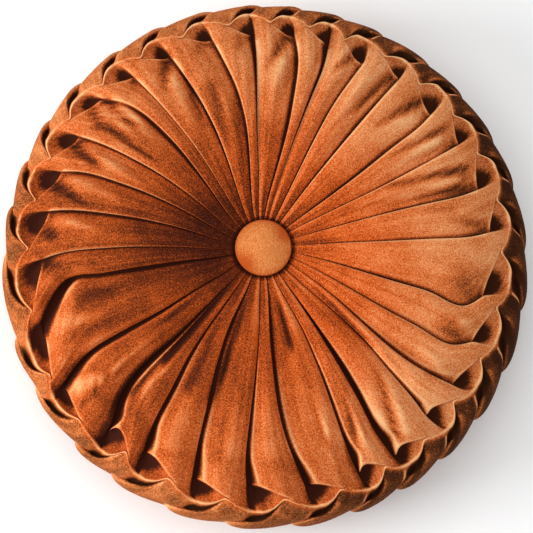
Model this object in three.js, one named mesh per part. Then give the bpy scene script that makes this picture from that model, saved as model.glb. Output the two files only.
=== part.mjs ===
import * as THREE from "three";

// A round velvet pillow, lying on its back.
// A velvet cover is pleated into folds that run from a covered button in the middle of each face to the rim.
// Round the rim each fold is stitched to the next, so that it swings over, opens into a small cup and then
// runs back down the side, as in lattice smocking. A second button sits in the middle of the back.
// Millimetres and degrees, +Z up, with the origin on the surface under the middle of the pillow.
// Radii named "...At" are shares of the pillow's own radius. Heights are measured from half height.

// Driving sizes
const DIAMETER = 380;
const HALF_THICKNESS = 52;
const PRESSED_FLAT = 4;
const BUTTON_DIAMETER = 41;
const BUTTON_EDGE = 7;
const BUTTON_HEIGHT = 13;
const BUTTON_DRIFT = { x: -2.5, y: 10 };
const SEAM_GAP = 0.3;

const RADIUS = DIAMETER / 2;
const MIDDLE = HALF_THICKNESS - PRESSED_FLAT;

// One row for each fold of the face, counter-clockwise from +X. The first seven columns are the angle of the
// fold's ridge, from the button out to the peak of its cup. "gap" is the open width beside the ridge.
const FOLD_COLUMNS = [
  "hub", "inner", "middle", "outer", "shoulder", "notch", "peak", "gap", "notchAt", "peakAt",
];
const FOLD_ROWS = [
  [5, 6, 6, 6, 6, 7, 9.5, 1.6, 0.854, 0.941],
  [18, 18.8, 18.8, 18.3, 17.8, 18.3, 22.8, 1.6, 0.846, 0.948],
  [31.6, 31.2, 30.6, 30.6, 30.8, 31, 33.5, 1.8, 0.856, 0.943],
  [41, 40.5, 40.5, 40.9, 40.9, 41.5, 45.3, 1.8, 0.832, 0.94],
  [56.6, 56.6, 55.8, 55, 54.2, 53.8, 55.2, 2.2, 0.866, 0.939],
  [67.5, 67.5, 67.2, 66.4, 64.4, 63.8, 67.5, 2.2, 0.834, 0.939],
  [80, 77.8, 75.9, 74.4, 73.4, 73.9, 75.8, 4, 0.864, 0.945],
  [87, 82.5, 80.2, 80.2, 81.2, 83, 85.8, 2.2, 0.864, 0.941],
  [97, 94.5, 93.9, 93.2, 92.8, 93, 94.6, 3.2, 0.861, 0.943],
  [105.5, 100.8, 98.6, 99.5, 102.5, 104, 106.2, 1.8, 0.862, 0.942],
  [117.5, 113.4, 111.8, 112.6, 114.5, 115.5, 117.6, 1.6, 0.855, 0.941],
  [127, 124.3, 123.4, 124.2, 125.5, 126.2, 128.6, 1.6, 0.86, 0.945],
  [138, 132, 129.4, 129.6, 132, 136, 140.2, 2, 0.876, 0.946],
  [149.5, 144, 142.8, 143.9, 145.8, 147, 150.7, 1.6, 0.848, 0.947],
  [159.5, 154, 152.7, 153.6, 155.5, 157.3, 161.4, 1.6, 0.842, 0.945],
  [170, 165, 164.2, 165.2, 166.8, 168, 172.6, 1.6, 0.842, 0.947],
  [181, 177.5, 176.8, 177.5, 179, 180.5, 185.2, 1.6, 0.848, 0.946],
  [191, 187, 186, 186.2, 187, 193.5, 200.2, 2.4, 0.842, 0.939],
  [212, 208.9, 208.6, 208.4, 207.5, 209.7, 214, 5, 0.862, 0.956],
  [225.5, 223.5, 222.4, 221, 223.7, 226.6, 229.6, 7, 0.842, 0.948],
  [235.5, 233, 232.6, 234.4, 235.8, 237, 240, 5.5, 0.85, 0.944],
  [248, 244.4, 245.9, 248.3, 249.9, 250.9, 254.5, 5, 0.868, 0.946],
  [264, 265.4, 264.7, 263.9, 263.8, 264.6, 268.3, 5, 0.852, 0.948],
  [276, 273.2, 273.2, 274.5, 277.5, 279.2, 282.6, 5.5, 0.866, 0.954],
  [290, 294.6, 294.4, 293.2, 292.4, 292.6, 295, 5.5, 0.852, 0.956],
  [302, 303, 302.8, 302.2, 301.4, 302, 306.2, 6, 0.864, 0.946],
  [316, 318, 318.6, 316.7, 315.5, 315, 317.6, 3, 0.832, 0.946],
  [329, 326.8, 323.8, 322.9, 324.5, 325.6, 329.8, 2.2, 0.846, 0.93],
  [340, 337, 335.1, 334.7, 335, 338, 342.6, 1.6, 0.836, 0.924],
  [351, 349.4, 348, 347.6, 346.8, 350.5, 356.8, 1.6, 0.828, 0.932],
];
const PLEATS = FOLD_ROWS.length;
const PITCH = 360 / PLEATS;

// Where the table gives the angle of a ridge on the face
const HUB_AT = 0.13;
const INNER_AT = 0.28;
const MIDDLE_AT = 0.45;
const OUTER_AT = 0.61;
const SHOULDER_AT = 0.775;

// The back's folds are even, and reach its rim a little behind their peaks
const BACK = { notchLag: 3.2, gap: 2.4, notchAt: 0.853, peakAt: 0.944 };

// Height of the ridges, from the button's seat out over the rim
const SEAT_AT = 0.075;
const SEAT_HEIGHT = 21;
const HOLLOW_AT = 0.115;
const CROWN = [
  [SEAT_AT, SEAT_HEIGHT], [HOLLOW_AT, 26], [0.18, 33], [0.28, 40], [0.45, 48], [0.61, 51.6],
  [0.72, HALF_THICKNESS], [0.8, 50], [0.86, 46.5], [0.91, 41], [0.96, 34],
];

// Depth of the valley beside each ridge
const VALLEY = [
  [SEAT_AT, 0], [HOLLOW_AT, 1.6], [0.18, 3.2], [0.28, 4.8], [0.45, 6.6], [0.61, 8], [0.8, 9.5], [1, 10],
];
const WIDEST_GAP_SHARE = 0.25;

// The cups: where along a pleat its lip is stitched down, and how deep the cup and the crease outside it are
const STITCH_SHARE = 0.5;
const STITCH_REACH = 0.47;
const CUP_DEPTH = 16;
const CUP_SLOPE = 0.55;
const LIP_BEND = 1.8;
const LIP_STEP = 0.6;
const LIP_LIFT = 1.2;
const EDGE_INSET = 0.012;
const EDGE_ROUND = 0.6;
const CREASE_DEPTH = 12;
const CREST_DROP = 5;
const CREASE_OUT = 0.012;

// The side: the share of a pleat's width by which a fold leans back, and how the pleats scallop the outline
const SIDE_LEAN = 0.62;
const SCALLOP = { crease: 0.035, width: 0.08, bulge: 0.022 };

// Places across one pleat, from the valley beside the last ridge (0) to its own ridge (1)
const EDGE_SHARE = 0.1;
const ACROSS = [0, EDGE_SHARE, 0.27, STITCH_SHARE, 0.78, 1];

// Places along one pleat: radii on each face, and shares of the way down the side
const LAST_ROW = 0.79;
const FRONT_ROWS = [SEAT_AT, HOLLOW_AT, 0.19, 0.3, 0.44, 0.58, 0.7, LAST_ROW];
const BACK_ROWS = [SEAT_AT, 0.13, 0.26, 0.46, 0.66, LAST_ROW];
const SIDE_ROWS = [0.34, 0.68];

const { degToRad, radToDeg, clamp } = THREE.MathUtils;
const mix = (a, b, share) => a + (b - a) * share;
const smooth = (x) => THREE.MathUtils.smoothstep(x, 0, 1);

// A smooth curve through [place, value] pairs, held level past its ends
function through(pairs, place) {
  const last = pairs.length - 1;
  const x = clamp(place, pairs[0][0], pairs[last][0]);
  let i = 1;
  while (i < last && x > pairs[i][0]) i += 1;
  const slope = (j) => {
    const before = pairs[Math.max(j - 1, 0)];
    const after = pairs[Math.min(j + 1, last)];
    return (after[1] - before[1]) / (after[0] - before[0]);
  };
  const [x0, y0] = pairs[i - 1];
  const [x1, y1] = pairs[i];
  const h = x1 - x0;
  const u = (x - x0) / h;
  return (
    y0 * (1 + 2 * u) * (1 - u) ** 2 + y1 * u * u * (3 - 2 * u) +
    h * slope(i - 1) * u * (1 - u) ** 2 - h * slope(i) * u * u * (1 - u)
  );
}

// The front's folds follow the table. The back's are even at the button, and meet the front's at the rim.
const frontFolds = FOLD_ROWS.map((row) =>
  Object.fromEntries(FOLD_COLUMNS.map((name, i) => [name, row[i]])),
);
const backFolds = frontFolds.map(({ peak }, k) => {
  const { notchLag, gap, notchAt, peakAt } = BACK;
  const even = (k + 0.5) * PITCH;
  const notch = peak - notchLag;
  const between = (at) => mix(even, notch, (at - INNER_AT) / (notchAt - INNER_AT));
  return {
    hub: even, inner: even, middle: between(MIDDLE_AT), outer: between(OUTER_AT),
    shoulder: between(SHOULDER_AT), notch, peak, gap, notchAt, peakAt,
  };
});

// Fold number k of a side, with the whole turns to add where k runs past either end of the table
function foldOf(folds, k) {
  const turns = Math.floor(k / PLEATS);
  return { fold: folds[k - turns * PLEATS], turn: turns * 360 };
}

function ridgeAngle(folds, k, at) {
  const { fold, turn } = foldOf(folds, k);
  return turn + through([
    [HUB_AT, fold.hub], [INNER_AT, fold.inner], [MIDDLE_AT, fold.middle], [OUTER_AT, fold.outer],
    [SHOULDER_AT, fold.shoulder], [fold.notchAt, fold.notch], [fold.peakAt, fold.peak],
  ], at);
}

function peakAngle(folds, k) {
  const { fold, turn } = foldOf(folds, k);
  return turn + fold.peak;
}

// The angle of a place across pleat k: the gap beside the last ridge comes first, and cloth fills the rest
function pleatAngle(folds, k, across, at) {
  const start = ridgeAngle(folds, k - 1, at);
  const width = ridgeAngle(folds, k, at) - start;
  const { gap } = foldOf(folds, k - 1).fold;
  const open = Math.min(radToDeg(gap / (at * RADIUS)), WIDEST_GAP_SHARE * width);
  const cloth = Math.max(0, (across - EDGE_SHARE) / (1 - EDGE_SHARE));
  return start + open * (0.5 + 0.5 * Math.min(across / EDGE_SHARE, 1)) + (width - open) * cloth;
}

// How far a place across a pleat lies below its ridge, as a share of the valley's depth
const pleatDrop = (across) => 0.62 * Math.exp(-across / 0.045) + 0.38 * (1 - across) ** 2;

const crown = (at) => through(CROWN, at);
const polar = (angle, at, height) => ({ angle, at, height });
const onFace = (folds, k, across, at) =>
  polar(pleatAngle(folds, k, across, at), at, crown(at) - through(VALLEY, at) * pleatDrop(across));

// The five rows over the rim: shoulder, inner edge, cup floor, lip, and the crease outside the lip.
// The inner edge climbs from the notch through the stitch to the peak. The lip starts at the last peak,
// arches over the cup down to the stitch, and from there is one with the edge.
function rimRows(folds, k, across) {
  const { notchAt, peakAt: lastPeakAt } = foldOf(folds, k - 1).fold;
  const { peakAt } = foldOf(folds, k).fold;
  const stitched = Math.min(across / STITCH_SHARE, 1);
  const open = 1 - smooth(stitched);
  const stitchAt = mix(notchAt, peakAt, STITCH_REACH);
  const stitchAngle = pleatAngle(folds, k, STITCH_SHARE, stitchAt);

  const edgeAt = mix(notchAt, peakAt, across);
  const edgeAngle = pleatAngle(folds, k, across, edgeAt);
  const arched = across < STITCH_SHARE;
  const lipAt = arched ? mix(lastPeakAt, stitchAt, stitched ** LIP_BEND) : edgeAt;
  const lipAngle = arched ? mix(peakAngle(folds, k - 1) + LIP_STEP, stitchAngle, stitched) : edgeAngle;
  const creaseAt = lipAt + CREASE_OUT * Math.min(across / EDGE_SHARE, 1);
  const creaseDrop = mix(CREASE_DEPTH, CREST_DROP, smooth(stitched));

  const inner = onFace(folds, k, across, edgeAt - EDGE_INSET * stitched);
  const shoulder = onFace(folds, k, across, mix(LAST_ROW, inner.at, 0.5));
  const floorAt = mix(edgeAt, lipAt, CUP_SLOPE) - (EDGE_INSET / 3) * stitched;
  const floorHeight = crown(mix(edgeAt, lipAt, 0.5)) - CUP_DEPTH * open;
  const floor = polar(mix(edgeAngle, lipAngle, 0.5), floorAt, floorHeight);
  const lip = polar(lipAngle, lipAt, crown(lipAt) + LIP_LIFT * open - EDGE_ROUND * stitched);
  const crease = polar(lipAngle, creaseAt, crown(lipAt) - creaseDrop);
  return [shoulder, inner, floor, lip, crease];
}

// The outline at half height, where each pleat bulges out between its creases
const outlineAt = (across) =>
  1 - SCALLOP.crease * Math.exp(-across / SCALLOP.width) - SCALLOP.bulge * (2 * across - 0.95) ** 2;

// The angle of a ridge at half height, behind its peak by a share of the pleats beside it
const lowAngle = (folds, k) =>
  peakAngle(folds, k) - SIDE_LEAN * (peakAngle(folds, k + 1) - peakAngle(folds, k - 1)) / 2;

// Down the side a pleat leans back, from the crease (0) to half height (1)
function sidePoint(folds, k, across, share) {
  const crease = rimRows(folds, k, across).at(-1);
  const low = mix(lowAngle(folds, k - 1), lowAngle(folds, k), across);
  const turn = share * Math.PI / 2;
  return polar(
    mix(crease.angle, low, smooth(share)), mix(crease.at, outlineAt(across), Math.sin(turn)),
    crease.height * Math.cos(turn),
  );
}

// All rows of one side at one place across a pleat, from the button's seat to just short of half height
const columnOf = (folds, faceRows, k, across) => [
  ...faceRows.map((at) => onFace(folds, k, across, at)),
  ...rimRows(folds, k, across),
  ...SIDE_ROWS.map((share) => sidePoint(folds, k, across, share)),
];

// A point in millimetres. The folds' own centre drifts to the button as they near it.
function toPoint({ angle, at, height }, side) {
  const drift = (1 - clamp((at - HOLLOW_AT) / (1 - HOLLOW_AT), 0, 1)) ** 2;
  return new THREE.Vector3(
    BUTTON_DRIFT.x * drift + at * RADIUS * Math.cos(degToRad(angle)),
    BUTTON_DRIFT.y * drift + at * RADIUS * Math.sin(degToRad(angle)),
    Math.max(0, MIDDLE + side * height),
  );
}

// The cover is one closed skin over its filling: each column runs from the front's seat to the back's.
// Each four-sided cell is split along its shorter diagonal, so that the facets follow the folds.
function coverGeometry() {
  const columns = [];
  for (let k = 0; k < PLEATS; k += 1) {
    for (const across of ACROSS) {
      const front = columnOf(frontFolds, FRONT_ROWS, k, across).map((p) => toPoint(p, 1));
      const half = toPoint(sidePoint(frontFolds, k, across, 1), 1);
      const back = columnOf(backFolds, BACK_ROWS, k, across).map((p) => toPoint(p, -1)).reverse();
      columns.push([...front, half, ...back]);
    }
  }
  const rows = columns[0].length;
  const points = columns.flat();
  const frontSeat = points.length;
  const backSeat = frontSeat + 1;
  points.push(new THREE.Vector3(BUTTON_DRIFT.x, BUTTON_DRIFT.y, MIDDLE + SEAT_HEIGHT));
  points.push(new THREE.Vector3(BUTTON_DRIFT.x, BUTTON_DRIFT.y, MIDDLE - SEAT_HEIGHT));

  const faces = [];
  columns.forEach((_, c) => {
    const here = c * rows;
    const next = ((c + 1) % columns.length) * rows;
    faces.push(frontSeat, here, next);
    for (let r = 0; r < rows - 1; r += 1) {
      const [a, b] = [here + r, here + r + 1];
      const [d, e] = [next + r, next + r + 1];
      const fromStart = points[a].distanceTo(points[e]) < points[b].distanceTo(points[d]);
      faces.push(...(fromStart ? [a, b, e, a, e, d] : [a, b, d, b, e, d]));
    }
    faces.push(here + rows - 1, backSeat, next + rows - 1);
  });
  const geometry = new THREE.BufferGeometry().setFromPoints(points).setIndex(faces);
  geometry.computeVertexNormals();
  return geometry;
}

// A velvet-covered button: a narrow flat foot on the seat, flared sides and a low dome
function buttonGeometry() {
  const r = BUTTON_DIAMETER / 2;
  const steps = 6;
  const profile = [
    new THREE.Vector2(0, 0), new THREE.Vector2(0.58 * r, 0), new THREE.Vector2(0.95 * r, 0.7 * BUTTON_EDGE),
  ];
  for (let i = 0; i < steps; i += 1) {
    const turn = (i / steps) * Math.PI / 2;
    const height = BUTTON_EDGE + (BUTTON_HEIGHT - BUTTON_EDGE) * Math.sin(turn);
    profile.push(new THREE.Vector2(r * Math.cos(turn), height));
  }
  profile.push(new THREE.Vector2(0, BUTTON_HEIGHT));
  return new THREE.LatheGeometry(profile, 40).rotateX(Math.PI / 2);
}

const velvet = (color) => new THREE.MeshStandardMaterial({ color, roughness: 0.9, metalness: 0 });

function named(name, geometry, material) {
  const mesh = new THREE.Mesh(geometry, material);
  mesh.name = name;
  return mesh;
}

const cover = named("pleated_cover", coverGeometry(), velvet(0xc4622a));

const frontButton = named("front_button", buttonGeometry(), velvet(0xd98a50));
frontButton.position.set(BUTTON_DRIFT.x, BUTTON_DRIFT.y, MIDDLE + SEAT_HEIGHT + SEAM_GAP);

const backButton = named("back_button", buttonGeometry(), velvet(0xd98a50));
backButton.position.set(BUTTON_DRIFT.x, BUTTON_DRIFT.y, MIDDLE - SEAT_HEIGHT - SEAM_GAP);
backButton.rotation.x = Math.PI;

const pillow = new THREE.Group();
pillow.add(cover, frontButton, backButton);

export default pillow;
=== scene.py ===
"""Round velvet pillow: a pleated cover with a smocked rim, and a covered button on each face.

The pillow lies on its back. Lengths are in mm in the tables and in the shaping code, and in metres in Blender.
"""
import math
from collections import namedtuple

import bmesh
import bpy
import numpy as np
from mathutils import Matrix, Vector


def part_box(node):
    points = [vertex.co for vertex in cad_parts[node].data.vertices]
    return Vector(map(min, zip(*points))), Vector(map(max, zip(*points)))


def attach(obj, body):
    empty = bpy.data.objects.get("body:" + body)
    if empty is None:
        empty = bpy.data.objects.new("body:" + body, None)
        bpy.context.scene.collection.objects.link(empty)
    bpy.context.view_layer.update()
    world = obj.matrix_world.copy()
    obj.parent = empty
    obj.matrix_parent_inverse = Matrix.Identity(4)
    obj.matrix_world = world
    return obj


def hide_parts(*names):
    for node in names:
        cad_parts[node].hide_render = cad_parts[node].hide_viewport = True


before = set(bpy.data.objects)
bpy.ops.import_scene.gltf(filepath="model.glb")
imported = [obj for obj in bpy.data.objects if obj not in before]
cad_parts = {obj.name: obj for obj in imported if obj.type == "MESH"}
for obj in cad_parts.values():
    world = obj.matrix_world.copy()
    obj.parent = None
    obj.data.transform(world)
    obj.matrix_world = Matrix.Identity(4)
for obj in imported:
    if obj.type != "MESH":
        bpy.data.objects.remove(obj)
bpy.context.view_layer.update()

bl_info = {
    "name": "Round velvet pillow",
    "version": (1, 0, 0),
    "blender": (4, 5, 0),
    "location": "3D View > Sidebar > Pillow",
    "description": "Builds a round pleated velvet pillow with covered buttons, on a pale floor",
    "category": "Object",
}

# The pillow's sizes in mm, as its solids have them: its radius, the height of its middle plane, the height of a
# button's seat above that, and how far the buttons stand from the centre. HOLLOW_AT is where the hollow under a button
# ends. Radii in the tables are shares of RADIUS.
RADIUS = 190.0
MIDDLE = 48.0
SEAT_HEIGHT = 21.0
HOLLOW_AT = 0.115
DRIFT = (-2.5, 10.0)

# Height of the front above the pillow's middle plane.
CROWN_AT = (0.075, 0.115, 0.18, 0.28, 0.45, 0.61, 0.72, 0.8, 0.86, 0.91, 0.96, 0.985)
CROWN = (21, 26, 33, 40, 48, 51.6, 52, 50, 46.5, 41, 34, 27)

# One row a fold, anticlockwise from the right. The first six columns are the angle of its ridge at TABLE_AT and at
# the notch, where the fold opens at the rim, and peak is where it crosses the crest. gap is the width in mm of the
# opening beside it. The last two columns are the radii of the notch and of the peak.
TABLE_AT = (0.13, 0.28, 0.45, 0.61, 0.775)
Fold = namedtuple("Fold", "hub inner middle outer shoulder notch peak gap notch_at peak_at")
FOLDS = [Fold(*row) for row in (
    (5, 6, 6, 6, 6, 7, 9.5, 1.0, 0.85, 0.93),
    (18, 18.8, 18.8, 18.3, 17.8, 18.3, 22.8, 1.0, 0.842, 0.936),
    (31.6, 31.2, 30.6, 30.6, 30.8, 31, 33.2, 1.0, 0.85, 0.931),
    (41, 40.5, 40.5, 40.9, 40.9, 41.5, 45.3, 1.5, 0.828, 0.93),
    (56.6, 56.6, 55.8, 55, 54.2, 53.8, 55.2, 2.0, 0.856, 0.926),
    (67.5, 67.5, 67.2, 66.4, 64.4, 63.8, 67.5, 2.0, 0.828, 0.926),
    (80, 77.8, 75.9, 74.4, 73.4, 73.9, 75.8, 3.5, 0.858, 0.936),
    (87, 82.5, 80.2, 80.2, 81.2, 83, 85.8, 2.0, 0.86, 0.936),
    (97, 94.5, 93.9, 93.2, 92.8, 93, 94.6, 3.0, 0.861, 0.943),
    (105.5, 100.8, 98.6, 99.5, 102.5, 104, 106.2, 1.5, 0.862, 0.942),
    (117.5, 113.4, 111.8, 112.6, 114.5, 115.5, 117.6, 1.0, 0.855, 0.941),
    (127, 124.3, 123.4, 124.2, 125.5, 126.2, 128.6, 1.0, 0.86, 0.945),
    (138, 132, 129.4, 129.6, 132, 136, 140.2, 1.5, 0.876, 0.946),
    (149.5, 144, 142.8, 143.9, 145.8, 147, 150.7, 1.0, 0.848, 0.947),
    (159.5, 154, 152.7, 153.6, 155.5, 157.3, 161.4, 1.0, 0.842, 0.945),
    (170, 165, 164.2, 165.2, 166.8, 168, 172.6, 1.0, 0.842, 0.947),
    (181, 177.5, 176.8, 177.5, 179, 180.5, 185.2, 1.0, 0.848, 0.946),
    (191, 187, 186, 186.2, 187, 195.6, 204, 1.5, 0.884, 0.952),
    (212, 208.9, 208.4, 207.6, 208.2, 211.4, 214.4, 2.4, 0.9, 0.956),
    (225.5, 223.5, 222.4, 221, 223.7, 226.6, 229.6, 4.0, 0.842, 0.948),
    (235.5, 233, 232.6, 234.4, 235.8, 237, 240, 2.0, 0.85, 0.944),
    (248, 244.4, 245.9, 248.3, 249.9, 250.9, 254.5, 1.8, 0.868, 0.946),
    (264, 265.4, 264.7, 263.9, 263.8, 264.6, 268.3, 1.8, 0.852, 0.948),
    (276, 273.2, 273.2, 274.5, 277.5, 279.2, 282.6, 1.8, 0.862, 0.945),
    (290, 294.6, 294.4, 293.2, 292.4, 292.6, 295, 2.2, 0.85, 0.944),
    (302, 303, 302.8, 302.2, 301.4, 302, 306.2, 3.4, 0.858, 0.932),
    (316, 318, 318.6, 316.7, 315.5, 315, 317.6, 2.6, 0.828, 0.93),
    (329, 326.8, 323.8, 322.9, 324.5, 325.6, 329.8, 2.0, 0.842, 0.92),
    (340, 337, 335.1, 334.7, 335, 338, 342.6, 1.0, 0.832, 0.916),
    (351, 349.4, 348, 347.6, 346.8, 350.5, 356.8, 1.0, 0.826, 0.92),
)]
PLEATS = len(FOLDS)
# Folds whose opening widens towards the rim, with its width in mm there.
WIDENING = {17: 11.5, 18: 4.0, 19: 6.5, 20: 4.0, 21: 3.6, 22: 3.6, 23: 3.8, 24: 5.0, 25: 6.0}
# Folds beside which the corner of the next pleat curls back on itself, and how much. 1 is what LOBE says.
CURLS = {19: 1.5, 24: 1.1, 25: 1.1, 26: 0.5, 20: 0.3}

# Soft dents pressed into the pleats, and ridges where height is above zero. angle and at are the start and the end
# of the middle line, in degrees and as shares of the radius, and width and height are in mm. A dent narrows from a
# tenth more than its width at its start to half of it at its end.
Dent = namedtuple("Dent", "angle at end_angle end_at width height")
DENTS = [Dent(*row) for row in (
    (8.5, 0.84, 12, 0.7, 3.4, -2.2), (14, 0.74, 16.8, 0.58, 4, -1.0),
    (19.5, 0.81, 21.9, 0.52, 2.6, -2.6), (24.5, 0.84, 30, 0.5, 2.8, -3.6), (22.5, 0.8, 25.5, 0.6, 4, 1.2),
    (21, 0.56, 26.2, 0.33, 4, -1.0), (24, 0.6, 28.5, 0.4, 4, 0.8),
    (31.9, 0.84, 34.4, 0.6, 3, -1.8), (36.4, 0.85, 39, 0.58, 2.6, -3.4), (34.5, 0.8, 36.5, 0.62, 3.6, 1.0),
    (45.5, 0.87, 51.5, 0.6, 3.4, -3.8), (43.5, 0.8, 47, 0.64, 5, 1.0),
    (56.0, 0.86, 60.6, 0.6, 3.4, -4.2), (61.6, 0.8, 63, 0.56, 3.4, 1.2),
    (65.8, 0.87, 71.5, 0.74, 3.6, -3.4), (75, 0.84, 77, 0.7, 3, -1.4),
    (83.8, 0.9, 91, 0.7, 4, -3.8), (82.3, 0.78, 83.4, 0.62, 3, -2.0), (86, 0.76, 89, 0.6, 5, 1.4),
    (94.5, 0.88, 100, 0.77, 4, -1.4), (101.2, 0.62, 103.8, 0.33, 3, -1.8),
    (105.4, 0.88, 111, 0.8, 4, -2.0), (107.5, 0.7, 108.6, 0.4, 5, -2.0), (105.5, 0.68, 105.8, 0.42, 4, 1.0),
    (115.8, 0.88, 122.8, 0.72, 4, -3.6), (114.2, 0.78, 115.8, 0.52, 2.8, -2.2), (117.5, 0.8, 119.5, 0.55, 5, 1.4),
    (125.5, 0.86, 130, 0.78, 4, -1.2),
    (135.2, 0.87, 135.6, 0.66, 1.8, -3.2), (133.4, 0.84, 134.4, 0.56, 3.4, 1.8),
    (138.6, 0.89, 143.6, 0.79, 3.4, -3.6), (141.2, 0.82, 139.4, 0.52, 2.6, -3.6), (141.5, 0.76, 142.5, 0.5, 4, 0.8),
    (149.2, 0.882, 152.4, 0.7, 3.4, -4.0), (149.5, 0.72, 151, 0.5, 5, 0.9),
    (160.6, 0.882, 164.8, 0.68, 3.4, -4.0), (157.4, 0.84, 161, 0.56, 4, 1.8),
    (171, 0.885, 176.4, 0.77, 3.4, -3.4), (168.4, 0.84, 172.8, 0.62, 5, 2.0),
    (181, 0.86, 184.2, 0.72, 3.4, -2.0), (183.5, 0.8, 185.5, 0.64, 4, 0.8),
    (193.2, 0.72, 194.4, 0.5, 6, -1.6), (198, 0.84, 200.4, 0.64, 5, 1.6), (202.5, 0.8, 203.2, 0.52, 4, -1.0),
    (214.4, 0.89, 214.8, 0.76, 5, 3.0), (217.2, 0.9, 215.9, 0.42, 2, 1.8), (218.4, 0.88, 217.4, 0.72, 1.8, -2.2),
    (214, 0.48, 214.5, 0.26, 3, -2.0), (220.6, 0.8, 219, 0.5, 4, 1.0),
    (226.4, 0.56, 226.8, 0.19, 2.8, -6.0), (224.9, 0.78, 225, 0.5, 2, -3.0), (228.2, 0.72, 228.9, 0.42, 2, 1.8),
    (240.5, 0.6, 236.2, 0.28, 5, -2.2), (242, 0.82, 240.5, 0.56, 6, 1.4),
    (249.2, 0.6, 250.8, 0.19, 2.6, -4.0), (256, 0.8, 255.5, 0.56, 5, -1.2), (259, 0.78, 257.5, 0.5, 5, 1.0),
    (270.5, 0.76, 269.5, 0.46, 6, 1.2), (284.6, 0.38, 285.4, 0.18, 2.2, -4.0), (288.6, 0.72, 290.4, 0.5, 2.6, 1.6),
    (286.4, 0.74, 288, 0.52, 3, -1.0),
    (295, 0.8, 299.6, 0.56, 2.4, -2.4), (296.8, 0.8, 300.6, 0.58, 2.2, 1.4),
    (305.2, 0.85, 315, 0.56, 2.8, -3.2), (308.4, 0.84, 315.6, 0.62, 3, 1.6), (304.4, 0.78, 308.5, 0.56, 4, 1.0),
    (319, 0.52, 324, 0.22, 2.2, -2.6), (320.6, 0.52, 326, 0.24, 2.2, 1.4),
    (326.2, 0.82, 330.4, 0.64, 4, 1.8), (325.2, 0.7, 325.3, 0.52, 3, -1.4),
    (339, 0.86, 344.2, 0.7, 4, 1.6), (337, 0.8, 338.5, 0.66, 4, -1.6),
    (351.6, 0.86, 354.5, 0.74, 4, 1.2), (355, 0.86, 357.5, 0.74, 4, -1.2),
)]

# Patches of painted light and shade, with some uneven pile: the middle of each patch and its size in mm, and how much
# paler it is painted, darker below zero.
ShadeAndPilePatch = namedtuple("ShadeAndPilePatch", "x y size tone")
SHADE_AND_PILE_PATCHES = [ShadeAndPilePatch(*row) for row in (
    (-42, 16, 44, -0.26), (-24, 62, 40, -0.03), (60, 2, 46, 0.07), (128, -6, 62, 0.08), (90, 104, 60, 0.14),
    (0, -130, 70, -0.08), (-118, 6, 60, -0.13), (-182, 10, 46, -0.18), (10, 140, 60, 0.06), (110, -96, 60, 0.14),
    (-110, -110, 50, -0.18), (10, -50, 34, 0.08), (140, -20, 13, -0.3), (149, 17, 8, -0.24), (135, 53, 12, -0.2),
    (131, -49, 12, -0.28), (136, 90, 12, -0.18), (118, -84, 12, -0.24), (100, 118, 10, -0.14),
)]

# Where the cage's lines stand across a pleat, as shares of its width. The first and the last stand in its creases.
ACROSS = np.array([0, 0.03, 0.09, 0.19, 0.31, 0.43, 0.55, 0.65, 0.75, 0.85, 0.93, 1.0, 1.0])
COLUMNS = len(ACROSS)
# The columns with a part of their own. A pleat starts in a crease, rises by a slope to its brow, and ends in its
# nose, the rolled edge of the fold. Down the side, PETAL is the face that it turns outwards.
CREASE, SLOPE, BROW = 0, 1, 2
NOSE_TOP, NOSE, NOSE_UNDER = 10, 11, 12
PETAL = slice(5, 9)
# Where a stitch catches the pleat at the rim, as a share of its width.
STITCH = 0.55

# Radii of the cage's rows on each face, and the places of those down the side, from 0 at the crest to 1 at the
# pillow's middle.
FRONT_AT = (0.075, 0.1, 0.125, 0.152, 0.182, 0.214, 0.248, 0.284, 0.321, 0.359, 0.397, 0.435, 0.472, 0.509, 0.545,
            0.581, 0.616, 0.65, 0.684, 0.717, 0.745)
BACK_AT = (0.075, 0.13, 0.22, 0.34, 0.48, 0.62, 0.745)
SIDE_AT = (0.16, 0.34, 0.52, 0.7, 0.86)
BACK_SIDE_AT = (0.25, 0.5, 0.76)

# Sizes in mm of a fold that lies shut and of one that stands open, where its pleat is FULL_WIDTH wide: how far the
# brow drops, how deep the crease is, and how far the cloth swells between the creases. A fold lies shut up to a gap of
# SHUT_GAP and is all open at OPEN_GAP, and its nose then droops.
FULL_WIDTH = 26.0
SHUT_GAP, OPEN_GAP = 1.5, 4.5
BROW_DROP = (3.4, 2.0)
CREASE_DEPTH = (6.0, 13.0)
SWELL = (1.3, 2.6)
NOSE_DROOP = 3.4
# How unevenly the pleats swell, and the ranges that a rumple's wavelength in mm, its skew, its start and its height in
# mm are drawn from.
UNEVEN = 0.35
RUMPLE = ((9, 16), (0.12, 0.4), (0, 7), (0.2, 0.6))
# How a curled corner moves the first columns of a pleat: out, as a share of the radius, and then aside and up, in mm.
LOBE = np.array(((0.022, -1.0, 3.4), (0.02, -3.2, 3.0), (0.004, -4.2, 1.8), (-0.006, -2.4, 0.8)))

# Lines of a cup at the rim, from the pleat's edge over the pocket to the lip. share and add place a line between the
# two, and over is how far it has turned from the angle of the one to that of the other. open and closed are its drops
# in mm where the pocket is widest and at the stitch, and dark is how many mm of painted shade it gets beyond its real
# depth.
CupLine = namedtuple("CupLine", "name share add over open closed dark")
CUP = [CupLine(*row) for row in (
    ("shoulder", 0.0, -0.022, 0.0, 1.0, 0.2, 0.0),
    ("edge", 0.0, -0.003, 0.0, 0.0, 0.5, 0.0),
    ("turn", 0.0, -0.001, 0.03, 2.8, 1.8, 4.5),
    ("wall", 0.03, -0.002, 0.12, 9.5, 3.0, 4.0),
    ("floor", 0.26, 0.0, 0.4, 12.0, 3.2, -1.5),
    ("rise", 0.66, 0.0, 0.75, 7.0, 2.8, -2.0),
    ("under", 1.0, -0.009, 1.0, 1.8, 1.4, 0.0),
    ("lip", 1.0, 0.0, 1.0, -1.0, 0.4, 0.0),
)]
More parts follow.
